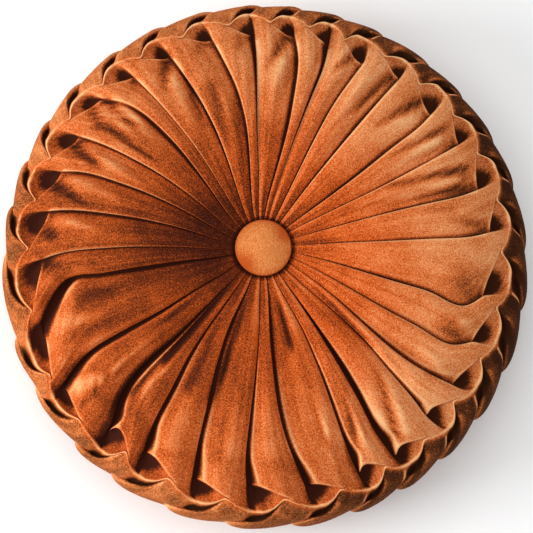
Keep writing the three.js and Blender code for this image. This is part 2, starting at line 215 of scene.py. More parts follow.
PLAIN_CUP = [line for line in CUP if line.name not in ("turn", "rise")]

# Lines over the crest: how far each lies out from the lip, how far it has turned to the side's angles, and its drops
# in mm below the crown: where the cloth rolls over, in the three columns of the nose, in the dark crease behind the
# lip, in the same crease on the right of the pillow, and in the next pleat's first three columns.
OuterLine = namedtuple("OuterLine", "add turn rolled nose_top nose nose_under behind behind_right crease slope brow")
OUTER = [OuterLine(*row) for row in (
    (0.006, 0.0, 0.3, 0.6, 1.8, 4.5, 3.0, 0.0, 4.0, 3.6, 3.2),
    (0.015, 0.1, 0.8, 1.2, 2.6, 11.0, 14.0, 0.0, 15.5, 15.0, 14.5),
    (0.031, 0.24, 2.2, 2.4, 3.6, 13.0, 3.4, 9.5, 14.0, 9.0, 5.0),
)]
PLAIN_OUTER = [OUTER[0], OUTER[2]]
# How many mm of painted shade the crease behind the lip gets, line by line from the crest down.
BEHIND_DARK = (5.0, 9.0, 9.0, 6.5)
# The outline of a petal of the side, as a share of the radius, at each column.
OUTLINE = np.array([0.96, 0.976, 0.993, 1.002, 1.006, 1.006, 1.004, 1.002, 0.999, 0.995, 0.991, 0.987, 0.975])
# How far the side's petals lean back, as a share of a pleat's width.
LEAN = 0.6
# Where the arch over a cup starts, as a share of the way from a fold's notch to its peak.
CORNER = 0.35

# Scales of the velvet's patterns, in waves a metre: grain of 0.9 mm, tufts of 3.3 mm and brushed patches of 33 mm.
GRAIN, TUFTS, PATCHES = 1150.0, 300.0, 30.0
# Deep, body and pale colours of the velvet where its pile stands open, and the deep and pale ones of the buttons.
OPEN_PILE = ("341a0c", "bd6a36", "eab884")
BUTTON_DEEP, BUTTON_PALE = "b4501e", "eab27c"

# A covered button: its radius in mm, its foot as a share of that, the rings up its side as shares of its radius and of
# its edge's height, and the rings on its dome as shares of its radius.
BUTTON_RADIUS = 20.5
BUTTON_FOOT = 0.6
BUTTON_SIDE = ((0.92, 0.5), (1.0, 0.82), (0.985, 1.03))
BUTTON_DOME = (0.985, 0.9, 0.72, 0.48, 0.24, 0.08)


def smooth(x):
    x = np.clip(x, 0, 1)
    return x * x * (3 - 2 * x)


def mix(a, b, share):
    return a + (b - a) * share


def upward(angle):
    """How far an angle points up the photograph, from -1 to 1."""
    return math.sin(math.radians(angle))


def rightward(angle):
    """How far an angle points to the right of the photograph, from -1 to 1."""
    return math.cos(math.radians(angle))


def at_columns(values):
    """A column of values across a pleat, which is zero where none is named."""
    places = np.zeros((COLUMNS, 1))
    for column, value in values.items():
        places[column] = value
    return places


def curve(places, values):
    """A smooth curve through the pairs, as a function."""
    p, v = np.array(places, float), np.array(values, float)
    xs = np.linspace(p[0], p[-1], 500)
    slope = np.gradient(v, p)
    i = np.clip(np.searchsorted(p, xs, "right") - 1, 0, len(p) - 2)
    h = p[i + 1] - p[i]
    u = (xs - p[i]) / h
    ys = (v[i] * (1 + 2 * u) * (1 - u) ** 2 + v[i + 1] * u * u * (3 - 2 * u)
          + h * slope[i] * u * (1 - u) ** 2 - h * slope[i + 1] * u * u * (1 - u))
    return lambda x: np.interp(x, xs, ys)


crown = curve(CROWN_AT, CROWN)

# What the shaping code reads across a pleat: the place of each column, whether it is in front of the stitch, its share
# of the way to the stitch, on from the stitch and over the pleat's flat, and how far the cup stands open there.
COLUMN = np.arange(COLUMNS)[:, None]
PLACE = ACROSS[:, None]
INSIDE = PLACE <= STITCH
TO_STITCH = np.clip(PLACE / STITCH, 0, 1)
FROM_STITCH = np.clip((PLACE - STITCH) / (1 - STITCH), 0, 1)
FLAT = np.clip((PLACE - ACROSS[BROW]) / (ACROSS[NOSE_TOP] - ACROSS[BROW]), 0, 1)
OPENING = 1 - smooth(TO_STITCH)
# How many mm aside the columns stand on the pillow's side, how many mm of painted shade the creases get round the
# button, and how strong the painted highlight on the ridges between them is.
SIDE_SHIFT = at_columns({CREASE: 0.8, SLOPE: 1.8, BROW: 3.2, NOSE_TOP: -1.8, NOSE: 0.9, NOSE_UNDER: 0.4})
HUB_CREASE = at_columns({CREASE: 8.0, SLOPE: 6.0, BROW: 2.5, NOSE_UNDER: 8.0})
HUB_RIDGE = at_columns({7: 0.36, 8: 0.66, 9: 0.66, NOSE_TOP: 0.66, NOSE: 0.66})


def ridge_path(fold):
    """The angle of a fold's ridge at a radius: the table to the notch, then a swing to the corner of its cup."""
    inner = curve((*TABLE_AT, fold.notch_at), fold[:6])

    def angle(at):
        u = np.clip((at - fold.notch_at) / (fold.peak_at - fold.notch_at), 0, 1)
        return inner(np.minimum(at, fold.notch_at)) + (fold.peak - fold.notch) * CORNER * u ** 1.5
    return angle


def back_folds():
    """The back isn't in the photograph: its folds start evenly and swing to the same peaks."""
    gap, notch_at, peak_at, lag = 2.0, 0.853, 0.944, 3.2
    folds = []
    for k, fold in enumerate(FOLDS):
        even, notch = (k + 0.5) * 360 / PLEATS, fold.peak - lag
        turn = [mix(even, notch, (at - TABLE_AT[1]) / (notch_at - TABLE_AT[1])) for at in TABLE_AT[2:]]
        folds.append(Fold(even, even, *turn, notch, fold.peak, gap, notch_at, peak_at))
    return folds


def per_mm(at):
    """How many degrees one mm along the circle is, at a radius."""
    return 180 / math.pi / (at * RADIUS)


def opening_width(fold, widest, at):
    """Width in mm of the opening beside a fold, which may widen to widest between 0.7 and 0.82 of the radius."""
    return mix(fold.gap, widest, smooth((at - 0.7) / 0.12))


def cup_outline(first, last, first_path, last_path, curl):
    """Radii of the pleat's edge and of its lip, and the angle of the stitch with its share of the pleat's width."""
    stitch_at = mix(first.notch_at, last.peak_at, 0.47)
    stitch_angle = mix(first.peak, last.peak, 0.4)
    stitch_share = (stitch_angle - first_path(stitch_at)) / (last_path(stitch_at) - first_path(stitch_at))
    edge = np.where(INSIDE, mix(first.notch_at, stitch_at, TO_STITCH ** 1.5),
                    mix(stitch_at, last.peak_at, mix(FROM_STITCH, np.sin(math.pi / 2 * FROM_STITCH), 0.6)))
    lip = np.where(INSIDE, mix(first.peak_at, stitch_at, TO_STITCH ** 2.2), edge)
    edge[:len(LOBE), 0] += curl * LOBE[:, 0]
    return edge, lip, stitch_angle, stitch_share


def shape_cup(first, last, cup, row, at, angle, height, stitch_angle, curl):
    """Moves a pleat's rim lines into a cup: from the pleat's edge down the pocket and up to the lip."""
    degrees = per_mm(at)
    edge, under, lip = row["edge"], row["under"], row["lip"]
    for r, share in ((edge - 2, 0.3), (edge - 1, 0.75), (edge, 1.0)):
        angle[:len(LOBE), r] += share * curl * LOBE[:, 1] * degrees[:len(LOBE), r]
        height[:len(LOBE), r] += share * curl * LOBE[:, 2]
    edge_angle, edge_height = angle[:, [edge]], height[:, [edge]]
    lip_angle = mix(first.peak, stitch_angle, TO_STITCH)
    pit = np.exp(-((PLACE - STITCH) / 0.1) ** 2)
    for line in cup:
        r = slice(row[line.name], row[line.name] + 1)
        fall = mix(line.closed, line.open, OPENING)
        if line.name == "shoulder":
            height[:, r] -= np.where(INSIDE, fall, 0) * smooth(PLACE / ACROSS[BROW])
            continue
        new = edge_height - fall if line.name == "edge" else crown(at[:, r]) - fall
        if line.name == "turn":
            new = np.minimum(new, edge_height - 1.5)
        if line.name in ("wall", "floor", "rise"):
            new = np.where(COLUMN == CREASE, new - 1, new)
        beside = np.where(COLUMN <= BROW, (0.9 - 0.15 * COLUMN) * degrees[:, r], 0) * line.over
        beyond = height[:, r] - (0.5 if line.name == "lip" else (line.closed - 0.3) * pit)
        angle[:, r] = np.where(INSIDE, mix(edge_angle, lip_angle, line.over) + beside, angle[:, r])
        height[:, r] = np.where(INSIDE, new, beyond)
    # At the peak the rolled edge of the fold turns a corner and runs on as the lip that arches over the next cup.
    first_arch, arch = ((fold.peak - fold.notch) * (1 - CORNER) for fold in (first, last))
    for column, along, back, below in ((NOSE_TOP - 1, 0.0, -3.8, 0.4), (NOSE_TOP, 0.0, -1.8, 0.2),
                                       (NOSE, 0.0, 0.0, 0.2), (NOSE_UNDER, 0.4, 0.0, -0.4)):
        angle[column, lip] = last.peak - (1 - along) * arch + back * degrees[column, lip]
        at[column, lip] -= 0.004 * (1 - along)
        height[column, lip] = crown(at[column, lip]) - below
    angle[NOSE_UNDER, under] = last.peak - 0.6 * arch
    for r, back, aside in ((lip, 0.25, 1.2), (under, 0.3, 0.6)):
        angle[CREASE, r] = first.peak - back * first_arch
        angle[SLOPE, r] = first.peak + aside * degrees[SLOPE, r]


def side_lines(first_low, last_low, lip, lip_angle, outer, side_at, right_side):
    """Radius, angle and height of each line over the crest and down the side to the pillow's middle."""
    behind = np.where(INSIDE, 1 - TO_STITCH ** 4, 0)
    low = np.where(COLUMN <= BROW, first_low,
                   np.where(COLUMN >= NOSE_TOP, last_low, mix(first_low, last_low, PLACE)))
    lines = []
    for line in outer:
        drop = mix(line.rolled, max(line.behind, line.behind_right * right_side), behind)
        drop[:BROW + 1, 0] = line.crease, line.slope, line.brow
        drop[NOSE_TOP:, 0] = line.nose_top, line.nose, line.nose_under
        lines.append((lip + line.add, mix(lip_angle, low, line.turn), crown(lip + line.add) - drop))
    crest_at, crest_angle, crest_height = lines[-1]
    for side in side_at:
        lean = side * math.pi / 2
        there = mix(crest_at, OUTLINE[:, None], math.sin(lean))
        lines.append((there, mix(crest_angle, low + SIDE_SHIFT * per_mm(there), smooth(side)),
                      crest_height * math.cos(lean)))
    return lines


def pile_values(first, last, at, height, slim, cup, row, outer, beyond, right_side):
    """What the velvet's tones need at each point: how much painted shade it gets for its depth, the thin painted
    highlight lines along the edges, and the side beyond the lip. beyond is what side_lines gives."""
    front = len(cup) == len(CUP)
    edge, under, lip = row["edge"], row["under"], row["lip"]
    sunk = (crown(at) - height) / slim ** 0.6
    # Round the button the folds crowd together: their creases get painted shade and the ridges between them a painted
    # highlight.
    steep = mix(0.4, 1, abs(upward(last.hub)))
    crowded = (1 - smooth((at - 0.14) / 0.4)) * steep
    sunk = sunk + HUB_CREASE * np.maximum(crowded, 0.4 * (1 - smooth((at - 0.3) / 0.5)) * steep)
    sunk[:, edge:] = np.where(INSIDE, mix(1.0, 0.55, smooth(1.4 * TO_STITCH)), 1) * sunk[:, edge:]
    sunk[:, row["shoulder"]:] += np.where(INSIDE, OPENING, 0) * [line.dark for line in cup]
    # The cups at the top face the light, so they get less painted shade.
    facing = float(smooth(1.3 * upward(first.peak)))
    sunk[:, edge:] *= np.where(INSIDE, 1 - 0.35 * facing * TO_STITCH ** 0.5, 1)
    # Painted shade beyond the lip, from how far each line lies below the crown and in the crease behind the lip.
    shade = [np.zeros_like(PLACE) for _ in beyond]
    for i, line in enumerate(outer):
        shade[i] = 0.5 * np.maximum(crown(beyond[i][0]) - beyond[i][2] - line.rolled, 0)
    for i, dark in enumerate(BEHIND_DARK) if front else ():
        shade[i] = np.maximum(shade[i], dark * (1 - smooth((PLACE - 0.3) / 0.55)) * mix(0.66, 1, right_side))
    depth = np.concatenate([sunk, *shade], axis=1)

    pale = np.zeros_like(depth)
    pale[:, :edge] = HUB_RIDGE * crowded[:, :edge] * float(smooth((rightward(last.hub) + 0.95) / 0.5))
    # The thin painted highlight line stands on whichever side of the crease is turned up, towards the light.
    up, down = float(smooth(upward(last.peak) / 0.9 + 1)), 1 - float(smooth(upward(first.peak) / 0.9 + 1))
    pale[NOSE, :edge] = np.maximum(pale[NOSE, :edge], 0.86 * up)
    pale[BROW, :edge] = 0.8 * down * (1 - crowded[BROW, :edge])
    # Painted highlight lines along the lip and the edge, and down the noses of the side, strongest on the right.
    pale[SLOPE:, lip] = np.where(INSIDE, 0.95, 0.6)[SLOPE:, 0]
    pale[:, edge] = np.where(INSIDE, 0.6, 0)[:, 0]
    pale[:, under] = np.where(INSIDE, 0.1 * right_side, 0)[:, 0] if front else 0
    pale[NOSE, lip + 2:] = mix(0.3, 1.0, right_side)
    # The side beyond the lip, which is painted darker, most of all on the right, and takes the paler open pile.
    away = np.zeros_like(depth)
    away[:, lip + 1] = 0.4
    away[:, lip + 2:] = 1
    away[NOSE, lip + 2:] = 0.3
    away[PETAL, lip + 2:] = 0.85
    return depth, pale, away


def pleat(number, before, after, face_at, cup, outer, side_at, dice):
    """Radius share, angle, height above the middle and pile values of every cage point of one pleat of one face.

    before and after are the folds on its two sides, each with the path of its ridge and the angle at which that meets
    the side."""
    (first, first_path, first_low), (last, last_path, last_low) = before, after
    front = len(cup) == len(CUP)
    curls, widening = (CURLS, WIDENING) if front else ({}, {})
    curl = curls.get(number - 1, 0)
    edge, lip, stitch_angle, stitch_share = cup_outline(first, last, first_path, last_path, curl)
    right_side = float(smooth((rightward(first.peak) + 0.5) / 1.2))

    # The rows run over the face, up the shoulder in a few steps, and along the lines of the cup.
    lines, faces, steps = len(cup), len(face_at), 4 if front else 2
    cup_at = [mix(edge, lip, line.share) + line.add * mix(0.3, 1, OPENING) for line in cup]
    spread = [mix(face_at[-1], edge, (i + 5) / (lines + 4)) for i in range(lines)]
    rim_at = [mix(a, b, smooth(FROM_STITCH)) for a, b in zip(cup_at, spread)]
    shoulder_at = [mix(face_at[-1], rim_at[0], i / (steps + 1)) for i in range(1, steps + 1)]
    at = np.concatenate([np.broadcast_to(x, PLACE.shape) for x in [*face_at, *shoulder_at, *rim_at]], axis=1)
    turned = np.concatenate([np.zeros(faces), smooth(np.arange(1, steps + 1) / (steps + 1)), np.ones(lines)])
    share = mix(FLAT, np.where(INSIDE, stitch_share * TO_STITCH, mix(stitch_share, 1, FROM_STITCH)), turned[None, :])
    row = {line.name: faces + steps + i for i, line in enumerate(cup)}

    # Across the pleat: the opening beside the first fold, the flat, and the roll of the last fold.
    left, right, degrees = first_path(at), last_path(at), per_mm(at)
    slim = np.clip((right - left) / degrees / FULL_WIDTH, 0.12, 1.15)
    first_wide = opening_width(first, widening.get(number - 1, first.gap), at)
    last_wide = opening_width(last, widening.get(number, last.gap), at)
    first_open, last_open = (smooth((wide - SHUT_GAP) / (OPEN_GAP - SHUT_GAP)) for wide in (first_wide, last_wide))
    gap = (0.4 + first_wide * mix(0.25, 1, smooth((at - 0.1) / 0.5))) * np.minimum(slim, 1)
    roll = (1.3 + 0.5 * last.gap) * slim
    angle = mix(left + (gap + 1.4 * slim) * degrees, right - 0.9 * roll * degrees, share)
    for column, start, aside in (
            (CREASE, left, gap * 0.55), (SLOPE, left, gap + 0.15 * slim),
            (NOSE, right, 0.35 * roll), (NOSE_UNDER, right, mix(-0.1, 0.45, last_open) * roll)):
        angle[column] = (start + aside * degrees)[column]

    crease = mix(*CREASE_DEPTH, first_open) * slim
    nose = last_open * NOSE_DROOP * slim
    swell = mix(*SWELL, last_open) * slim * (1 + UNEVEN * dice.standard_normal())
    drop = mix(*BROW_DROP, first_open) * slim * (1 - FLAT) ** mix(1.8, 3.0, first_open)
    drop = drop - swell * (4 * FLAT * (1 - FLAT) - 0.15) + nose * FLAT ** 4
    for column, deep in ((CREASE, crease), (SLOPE, mix(0.8, 0.5, first_open) * crease), (NOSE_TOP, nose),
                         (NOSE, nose + 0.9 * roll), (NOSE_UNDER, nose + 2.1 * roll)):
        drop[column] = deep[column]
    height = crown(at) - drop
    # Soft rumples that run in from the rim, askew to the fold.
    ease = np.sin(math.pi * FLAT) ** 0.8 * smooth((at - 0.25) / 0.35)
    for _ in range(2 if front else 1):
        wave, skew, start, size = (dice.uniform(*ends) for ends in RUMPLE)
        along = FLAT * (right - left) / degrees + skew * at * RADIUS
        height = height + ease * size * np.sin(along * math.tau / wave + start)

    shape_cup(first, last, cup, row, at, angle, height, stitch_angle, curl)
    beyond = side_lines(first_low, last_low, lip, angle[:, [row["lip"]]], outer, side_at, right_side)
    whole = [np.concatenate([part, *(np.broadcast_to(line[i], PLACE.shape) for line in beyond)], axis=1)
             for i, part in enumerate((at, angle, height))]
    return (*whole, *pile_values(first, last, at, height, slim, cup, row, outer, beyond, right_side))


def one_face(folds, face_at, cup, outer, side_at, seed):
    """The cage points of one face with its half of the side, as pleats by columns by rows."""
    dice = np.random.default_rng(seed)
    paths = [ridge_path(fold) for fold in folds]
    peaks = np.array([fold.peak for fold in folds])
    around = np.concatenate([[peaks[-1] - 360], peaks, [peaks[0] + 360]])
    lows = peaks - LEAN * (around[2:] - around[:-2]) / 2
    pleats = []
    for k in range(PLEATS):
        turn = 360 if k == 0 else 0
        first = folds[k - 1]._replace(notch=folds[k - 1].notch - turn, peak=folds[k - 1].peak - turn)
        path = paths[k - 1]
        before = (first, lambda at, path=path, turn=turn: path(at) - turn, lows[k - 1] - turn)
        pleats.append(pleat(k, before, (folds[k], paths[k], lows[k]), face_at, cup, outer, side_at, dice))
    return [np.array(part) for part in zip(*pleats)]


def drifted(at):
    """How much of the button's drift the cloth takes part in at a radius: all of it there, and none at the rim."""
    return (1 - np.clip((at - HOLLOW_AT) / (1 - HOLLOW_AT), 0, 1)) ** 2


def dented(points, at):
    """Presses the soft dents into the front, and gives how many mm up or down each point went."""
    flat = points[..., :2] - np.array(DRIFT) * drifted(at)[..., None]
    pressed = np.zeros(at.shape)
    for dent in DENTS:
        a, b = math.radians(dent.angle), math.radians(dent.end_angle)
        start = np.array((math.cos(a), math.sin(a))) * dent.at * RADIUS
        end = np.array((math.cos(b), math.sin(b))) * dent.end_at * RADIUS
        along = end - start
        length = np.hypot(*along)
        u = np.clip(((flat - start) @ along) / length ** 2, 0, 1)
        off = np.abs((flat - start) @ np.array((-along[1], along[0]))) / length
        pressed += dent.height * np.sin(math.pi * u ** 0.6) ** 0.7 * np.exp(-(off / dent.width / mix(1.1, 0.5, u)) ** 2)
    points[..., 2] += pressed
    return pressed


def cover_cage():
    """The cage of the whole cover: its points in mm, its faces, its cloth map, and named values at each point."""
    front = one_face(FOLDS, FRONT_AT, CUP, OUTER, (*SIDE_AT, 1.0), seed=7)
    back = one_face(back_folds(), BACK_AT, PLAIN_CUP, PLAIN_OUTER, BACK_SIDE_AT, seed=8)
    sides, tones = [], []
    for (at, angle, height, *tone), sign in ((front, 1), (back, -1)):
        share, turn = drifted(at), np.radians(angle)
        points = np.stack([DRIFT[0] * share + at * RADIUS * np.cos(turn), DRIFT[1] * share + at * RADIUS * np.sin(turn),
                           np.maximum(0, MIDDLE + sign * height)], axis=-1)
        tone.append(dented(points, at) if sign > 0 else np.zeros(at.shape))
        sides.append(points.reshape(PLEATS * COLUMNS, -1, 3)[:, ::sign])
        tones.append([part.reshape(PLEATS * COLUMNS, -1)[:, ::sign] for part in tone])
    grid = np.concatenate(sides, axis=1)
    values = {name: np.concatenate(pair, axis=1).reshape(-1)
              for name, pair in zip(("depth", "edge", "away", "pressed"), zip(*tones))}
    columns, rows = grid.shape[:2]
    column, row = np.arange(columns)[:, None], np.arange(rows - 1)[None, :]
    here, there = column * rows + row, (column + 1) % columns * rows + row
    faces = np.stack([here, here + 1, there + 1, there], axis=-1).reshape(-1, 4)
    across, along = column + 0 * row, row + 0 * column
    across = np.stack([across, across, across + 1, across + 1], axis=-1) / COLUMNS
    along = np.stack([along, along + 1, along + 1, along], axis=-1) / rows
    cloth = np.stack([across.reshape(-1), along.reshape(-1)], axis=-1)
    return grid.reshape(-1, 3), faces, cloth, values


def points_of(mesh):
    """The places of a mesh's points in mm, one a row."""
    points = np.empty(len(mesh.vertices) * 3)
    mesh.vertices.foreach_get("co", points)
    return points.reshape(-1, 3) * 1000


def set_tones(mesh, **tones):
    """Keeps named values at the mesh's points for its velvet to read."""
    for name, values in tones.items():
        mesh.attributes.new(name, "FLOAT", "POINT").data.foreach_set("value", values.astype(np.float32))


def get_tones(mesh, names):
    """Reads named values back from the mesh's points."""
    tones = {name: np.empty(len(mesh.vertices), np.float32) for name in names}
    for name, values in tones.items():
        mesh.attributes[name].data.foreach_get("value", values)
    return tones


def stands_out(mesh, rounds):
    """How far in mm each point stands out of the cloth round it. It is below zero in a fold."""
    count, points = len(mesh.vertices), points_of(mesh)
    normals, ends = np.empty(count * 3), np.empty(len(mesh.edges) * 2, int)
    mesh.vertices.foreach_get("normal", normals)
    mesh.edges.foreach_get("vertices", ends)
    normals, ends = normals.reshape(-1, 3), ends.reshape(-1, 2)
    both = np.concatenate([ends, ends[:, ::-1]])
    near = np.bincount(both[:, 0], minlength=count)[:, None]
    calm = points
    for _ in range(rounds):
        total = np.stack([np.bincount(both[:, 0], calm[both[:, 1], i], count) for i in range(3)], axis=1)
        calm = mix(calm, total / near, 0.7)
    return ((points - calm) * normals).sum(axis=1)


def shade_and_pile_tone(points, away):
    """How much paler or darker each point is painted: a painted shadow round the front button, darker towards the
    middle and paler towards the rim, painted shade down the side, most of all on the right, and the patches of painted
    light and shade."""
    out = np.hypot(points[:, 0], points[:, 1]) / RADIUS
    right = smooth((points[:, 0] / RADIUS / np.maximum(out, 0.1) + 0.35) / 1.35)
    button = np.hypot(points[:, 0] - DRIFT[0], points[:, 1] - DRIFT[1])
    # A painted shadow round the front button.
    tone = -0.4 * (1 - smooth((button - BUTTON_RADIUS) / 3.5)) * (points[:, 2] > MIDDLE)
    tone += 0.1 * smooth((out - 0.45) / 0.35) - 0.13 * (1 - smooth((out - 0.12) / 0.42)) - away * (0.08 + 0.6 * right)
    for patch in SHADE_AND_PILE_PATCHES:
        tone += patch.tone * np.exp(-((points[:, 0] - patch.x) ** 2 + (points[:, 1] - patch.y) ** 2) / patch.size ** 2)
    return tone


def set_cover_tones(mesh, names):
    """Turns the cage's values, now at the finished mesh's points, into what its velvet reads: thin painted highlights
    on the crests, painted shade in the hollows, painted light and shade with some uneven pile, and how far it is spread
    open."""
    out, points, value = stands_out(mesh, 2), points_of(mesh), get_tones(mesh, names)
    lip = np.clip(value["edge"], 0, 1)
    # A painted highlight along the ridges that stand out and along the cage's pale lines.
    crest = 0.6 * np.clip(out / 0.3 - 0.5, 0, 1) + lip ** 2
    # Painted shade in the folds: darker where the cloth sinks in, and the deeper it lies below the crown.
    hollow = 0.35 * np.clip(-out / 0.9, 0, 1) + 0.95 * np.clip((value["depth"] - 3.6) / 4.8, 0, 1)
    # Painted shade in the dents and a painted highlight on the ridges between them, from how far each point was
    # pressed.
    nap = shade_and_pile_tone(points, value["away"]) + np.clip(value["pressed"] * 0.12, -0.4, 0.2)
    x, y = points[:, 0] / RADIUS, points[:, 1] / RADIUS
    # The pile opens away from the middle. lit adds painted light, most at the upper right, and the side and the
    # highlight lines take the paler open pile too.
    spread, lit = smooth((np.hypot(x, y) - 0.3) / 0.5), smooth(0.5 + 0.42 * x + 0.25 * y)
    spread = np.maximum.reduce([spread * mix(0.2, 1, lit), value["away"] * 1.35, np.minimum(spread * 3, lip ** 2)])
    set_tones(mesh, crest=np.clip(crest, 0, 1), hollow=np.clip(hollow, 0, 1), nap=nap, spread=spread)


def set_button_tones(mesh, middle, radius):
    """Paints the button's stretched pile darker round the rim, most of all at the lower left and upper right, and gives
    its very edge painted shade."""
    x, y = ((points_of(mesh)[:, i] / 1000 - middle[i]) / radius for i in (0, 1))
    out = np.hypot(x, y)
    nap = -0.45 * np.exp(-((x + 0.68) ** 2 + (y + 0.6) ** 2) / 0.36 ** 2)
    nap = nap - 0.36 * np.exp(-((x - 0.74) ** 2 + (y - 0.55) ** 2) / 0.3 ** 2) - 0.16 * smooth((out - 0.6) / 0.4)
    set_tones(mesh, crest=0 * out, hollow=smooth((out - 0.9) / 0.1) * 0.2, nap=nap, spread=0 * out)


def linear(colour):
    """A hex colour as linear red, green, blue and alpha."""
    parts = [int(colour[i:i + 2], 16) / 255 for i in (0, 2, 4)]
    return (*[x / 12.92 if x <= 0.04045 else ((x + 0.055) / 1.055) ** 2.4 for x in parts], 1.0)


def add_node(tree, kind, sockets=None, **settings):
    """Adds a node, sets it, and gives each named input a value or a link."""
    node = tree.nodes.new(kind)
    for name, value in settings.items():
        setattr(node, name, value)
    for name, value in (sockets or {}).items():
        if isinstance(value, bpy.types.NodeSocket):
            tree.links.new(value, node.inputs[name])
        else:
            node.inputs[name].default_value = value
    return node


def new_material(name):
    """An empty material with its output node."""
    material = bpy.data.materials.new(name)
    material.use_nodes = True
    material.node_tree.nodes.clear()
    return material, material.node_tree, material.node_tree.nodes.new("ShaderNodeOutputMaterial")


def three_tones(tree, tone, deep, body, pale):
    """A colour that runs from deep through body to pale. It stays dark for longer than an even run would."""
    ramp = add_node(tree, "ShaderNodeValToRGB", {"Fac": tone})
    stops = ramp.color_ramp.elements
    stops.new(0.24).color = [mix(a ** 0.5, b ** 0.5, 0.36) ** 2 for a, b in zip(deep, body)]
    stops[0].position, stops[0].color = 0.0, deep
    stops[2].position, stops[2].color = 1.0, pale
    stops.new(0.5).color = body
    return ramp.outputs["Color"]


def velvet(name, deep, body, pale):
    """Polyester velvet, woven and cut to a pile of about 1.5 mm.

    Its colour is painted: painted shade deep down in the folds, and thin painted highlight lines along the crests of
    the folds."""
    material, tree, output = new_material(name)
    where = add_node(tree, "ShaderNodeTexCoord").outputs["Object"]
    patches = add_node(tree, "ShaderNodeTexNoise", {
        "Vector": where, "Scale": PATCHES, "Detail": 3.0, "Roughness": 0.55, "Distortion": 0.6})
    # The pile itself is a fifth of a millimetre thick. It is drawn 0.9 mm coarse, as it clumps in the photograph.
    grain = add_node(tree, "ShaderNodeTexNoise", {"Vector": where, "Scale": GRAIN, "Detail": 1.0, "Roughness": 0.6})
    tufts = add_node(tree, "ShaderNodeTexNoise", {"Vector": where, "Scale": TUFTS, "Detail": 2.0, "Roughness": 0.6})
    # Faint creases run the length of each pleat, from the pleats' own map.
    cloth = add_node(tree, "ShaderNodeUVMap", uv_map="cloth")
    length = add_node(tree, "ShaderNodeMapping", {"Vector": cloth.outputs["UV"], "Scale": (8.0, 2.6, 1.0)})
    streaks = add_node(tree, "ShaderNodeTexNoise", {
        "Vector": length.outputs["Vector"], "Scale": 1.0, "Detail": 3.0, "Roughness": 0.6, "Distortion": 0.5})
    # Where the pleats spread, the pile stands open and shows its paler, duller tips. The same share carries painted
    # light:
    # it is largest at the upper right, down the side and along the highlight lines.
    nap, crest, hollow, spread = (add_node(tree, "ShaderNodeAttribute", attribute_name=part)
                                  for part in ("nap", "crest", "hollow", "spread"))
    # The parts add up to a tone that is 0 at the deep colour, 0.5 at the body's and 1 at the pale one.
    tone = add_node(tree, "ShaderNodeMath", {0: patches.outputs["Fac"], 1: 0.4, 2: -0.505}, operation="MULTIPLY_ADD")
    # The attributes add painted light and shade to the tone: darker in folds and patches, paler along the crests.
    for part, amount in ((grain, 0.95), (tufts, 0.12), (streaks, 0.42), (nap, 1.0), (crest, 0.7), (hollow, -0.9)):
        tone = add_node(tree, "ShaderNodeMath", {0: part.outputs["Fac"], 1: amount, 2: tone.outputs[0]},
                        operation="MULTIPLY_ADD")
    share = add_node(tree, "ShaderNodeMath", {0: spread.outputs["Fac"], 1: 0.72}, operation="MULTIPLY")
    colour = add_node(tree, "ShaderNodeMix", {
        0: share.outputs[0], 6: three_tones(tree, tone.outputs[0], deep, body, pale),
        7: three_tones(tree, tone.outputs[0], *map(linear, OPEN_PILE))}, data_type="RGBA").outputs[2]
    height = add_node(tree, "ShaderNodeMath", {0: grain.outputs["Fac"], 1: tufts.outputs["Fac"]}, operation="ADD")
    bump = add_node(tree, "ShaderNodeBump", {"Height": height.outputs[0], "Strength": 0.35, "Distance": 0.0006})
    shader = add_node(tree, "ShaderNodeBsdfPrincipled", {
        "Base Color": colour, "Roughness": 0.85, "Specular IOR Level": 0.03, "Sheen Weight": 0.05,
        "Sheen Roughness": 0.4, "Sheen Tint": linear("e88a48"), "Normal": bump.outputs["Normal"]})
    tree.links.new(shader.outputs["BSDF"], output.inputs["Surface"])
    return material


def finished(obj, body, material):
    """Gives a piece its material and its body."""
    obj.data.materials.clear()
    obj.data.materials.append(material)
    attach(obj, body)


def only(obj):
    """Makes one object the selected and active one."""
    bpy.ops.object.select_all(action="DESELECT")
    obj.select_set(True)
    bpy.context.view_layer.objects.active = obj


def close_middles(mesh):
    """Closes the two holes under the buttons with a fan of faces each."""
    shell = bmesh.new()
    shell.from_mesh(mesh)
    rims = [edge for edge in shell.edges if edge.is_boundary]
    for sign in (1, -1):
        ring = [edge for edge in rims if (edge.verts[0].co.z * 1000 > MIDDLE) == (sign > 0)]
        centre = shell.verts.new(Vector((*DRIFT, MIDDLE + sign * SEAT_HEIGHT)) / 1000)
        for edge in ring:
            loop = edge.link_loops[0]
            shell.faces.new((loop.link_loop_next.vert, loop.vert, centre))
    shell.to_mesh(mesh)
    shell.free()


